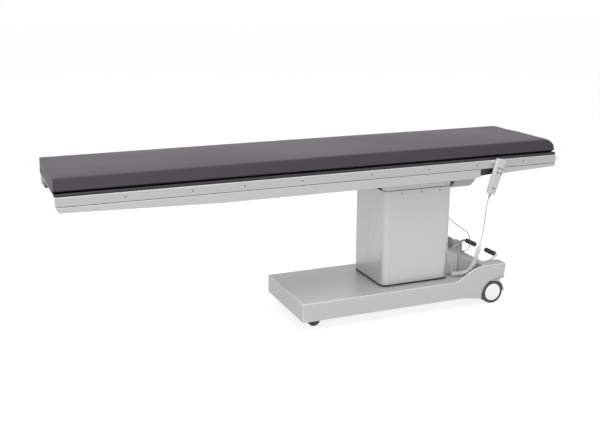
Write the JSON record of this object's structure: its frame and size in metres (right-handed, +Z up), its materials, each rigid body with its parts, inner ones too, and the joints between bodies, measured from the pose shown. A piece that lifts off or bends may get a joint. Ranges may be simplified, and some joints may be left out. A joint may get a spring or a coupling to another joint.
{
  "type": "operating table",
  "caption": "Operating table with a thin one-piece carbon top on a long offset overhang, side rails, lifting and tilting column, low castor base and corded hand control.",
  "frame": {"origin": "on the floor, under the middle of the whole table with the top level, lowered and centred on its slide", "axes": "+X along the top towards the castor end with the pedals, +Y across the top away from the hand control, +Z up"},
  "size_m": [2.4702, 0.5286, 0.835],
  "materials": {
    "light_metal": "satin",
    "steel": "satin",
    "aluminium": "brushed",
    "grey_plastic": "fine texture",
    "pale_plastic": "smooth",
    "handset_plastic": "fine texture",
    "carbon": "semi gloss",
    "black_metal": "matt",
    "rubber": "matt",
    "tyre": "matt",
    "pad_cover": "soft, slightly grained coated fabric",
    "cord": "smooth",
    "bright_steel": "polished"
  },
  "bodies": {
    "base": {"base_cover": "light_metal", "base_chassis": "steel", "rear_cover": "grey_plastic", "rear_hood": "grey_plastic", "socket_box": "grey_plastic", "column_seal": "rubber", "column_cover_near": "light_metal", "column_cover_far": "light_metal", "column_lid": "light_metal", "cover_screws_near": "steel", "cover_screws_far": "steel", "column_guide_tube": "steel", "lift_actuator_body": "steel", "aux_cord": "cord", "handset_coil": "cord", "handset_lead": "cord"},
    "lift_column": {"column_inner_tube": "steel", "lift_actuator_rod": "bright_steel", "column_head": "light_metal"},
    "cardan": {"cardan_cross": "steel"},
    "tilt_carrier": {"tilt_frame": "aluminium", "tilt_drive_box": "light_metal"},
    "table_top": {"top_frame": "black_metal", "slide_carriage_left": "steel", "slide_carriage_right": "steel", "beam_skin_long_near": "light_metal", "beam_skin_long_far": "light_metal", "beam_skin_short_near": "light_metal", "beam_skin_short_far": "light_metal", "side_rail_near": "aluminium", "side_rail_far": "aluminium", "rail_screws_near": "steel", "rail_screws_far": "steel", "rail_end_cap_near": "pale_plastic", "rail_end_cap_far": "pale_plastic", "carbon_top": "carbon", "mattress": "pad_cover", "handset_bracket": "steel"},
    "handset": {"handset_body": "handset_plastic", "handset_strain_relief": "rubber", "handset_cord": "cord"},
    "pedals": {"pedal_bar": "bright_steel", "pedal_grip_near": "rubber", "pedal_grip_far": "rubber"},
    "handset_button_1_body": {"handset_button_1": "rubber"},
    "handset_button_2_body": {"handset_button_2": "rubber"},
    "handset_button_3_body": {"handset_button_3": "rubber"},
    "handset_button_4_body": {"handset_button_4": "rubber"},
    "rear_castor_near_swivel": {"rear_castor_near_fork": "light_metal"},
    "rear_castor_near_wheelset": {"rear_castor_near_wheels": "pale_plastic", "rear_castor_near_tyre_near": "tyre", "rear_castor_near_tyre_far": "tyre"},
    "front_castor_near_swivel": {"front_castor_near_fork": "black_metal"},
    "front_castor_near_wheelset": {"front_castor_near_wheels": "tyre"},
    "rear_castor_far_swivel": {"rear_castor_far_fork": "light_metal"},
    "rear_castor_far_wheelset": {"rear_castor_far_wheels": "pale_plastic", "rear_castor_far_tyre_near": "tyre", "rear_castor_far_tyre_far": "tyre"},
    "front_castor_far_swivel": {"front_castor_far_fork": "black_metal"},
    "front_castor_far_wheelset": {"front_castor_far_wheels": "tyre"}
  },
  "joints": [
    {"name": "column_lift", "type": "slide", "parent": "base", "child": "lift_column", "axis": [0, 0, 1], "range_m": [0, 0.3], "deforming": ["handset_coil"]},
    {"name": "trendelenburg_tilt", "type": "hinge", "parent": "lift_column", "child": "cardan", "pos_m": [0.48185, 0.01425, 0.675], "axis": [0, 1, 0], "range_deg": [-15, 9], "deforming": ["handset_coil"]},
    {"name": "lateral_tilt", "type": "hinge", "parent": "cardan", "child": "tilt_carrier", "pos_m": [0.48185, 0.01425, 0.675], "axis": [1, 0, 0], "range_deg": [-15, 15], "deforming": ["handset_coil"]},
    {"name": "top_slide", "type": "slide", "parent": "tilt_carrier", "child": "table_top", "axis": [1, 0, 0], "range_m": [-0.2, 0.2], "deforming": ["handset_coil"]},
    {"name": "handset_lift_off", "type": "slide", "parent": "table_top", "child": "handset", "axis": [0.309, 0, 0.9511], "range_m": [0, 0.06], "deforming": ["handset_coil"]},
    {"name": "handset_button_1_press", "type": "slide", "parent": "handset", "child": "handset_button_1_body", "axis": [0, 1, 0], "range_m": [0, 0.001], "stiffness_N_per_m": 500, "springref_m": -0.0004},
    {"name": "handset_button_2_press", "type": "slide", "parent": "handset", "child": "handset_button_2_body", "axis": [0, 1, 0], "range_m": [0, 0.001], "stiffness_N_per_m": 500, "springref_m": -0.0004},
    {"name": "handset_button_3_press", "type": "slide", "parent": "handset", "child": "handset_button_3_body", "axis": [0, 1, 0], "range_m": [0, 0.001], "stiffness_N_per_m": 500, "springref_m": -0.0004},
    {"name": "handset_button_4_press", "type": "slide", "parent": "handset", "child": "handset_button_4_body", "axis": [0, 1, 0], "range_m": [0, 0.001], "stiffness_N_per_m": 500, "springref_m": -0.0004},
    {"name": "pedal_press", "type": "hinge", "parent": "base", "child": "pedals", "pos_m": [0.85185, 0.01425, 0.18], "axis": [0, 1, 0], "range_deg": [0, 40]},
    {"name": "rear_castor_near_turn", "type": "hinge", "parent": "base", "child": "rear_castor_near_swivel", "pos_m": [0.93585, -0.17975, 0.06], "axis": [0, 0, 1], "continuous": true},
    {"name": "rear_castor_near_roll", "type": "hinge", "parent": "rear_castor_near_swivel", "child": "rear_castor_near_wheelset", "pos_m": [0.90585, -0.17975, 0.06], "axis": [0, 1, 0], "continuous": true},
    {"name": "rear_castor_far_turn", "type": "hinge", "parent": "base", "child": "rear_castor_far_swivel", "pos_m": [0.93585, 0.20825, 0.06], "axis": [0, 0, 1], "continuous": true},
    {"name": "rear_castor_far_roll", "type": "hinge", "parent": "rear_castor_far_swivel", "child": "rear_castor_far_wheelset", "pos_m": [0.90585, 0.20825, 0.06], "axis": [0, 1, 0], "continuous": true},
    {"name": "front_castor_near_turn", "type": "hinge", "parent": "base", "child": "front_castor_near_swivel", "pos_m": [-0.04215, -0.13075, 0.0325], "axis": [0, 0, 1], "continuous": true},
    {"name": "front_castor_near_roll", "type": "hinge", "parent": "front_castor_near_swivel", "child": "front_castor_near_wheelset", "pos_m": [-0.06415, -0.13075, 0.0325], "axis": [0, 1, 0], "continuous": true},
    {"name": "front_castor_far_turn", "type": "hinge", "parent": "base", "child": "front_castor_far_swivel", "pos_m": [-0.04215, 0.15925, 0.0325], "axis": [0, 0, 1], "continuous": true},
    {"name": "front_castor_far_roll", "type": "hinge", "parent": "front_castor_far_swivel", "child": "front_castor_far_wheelset", "pos_m": [-0.06415, 0.15925, 0.0325], "axis": [0, 1, 0], "continuous": true}
  ]
}
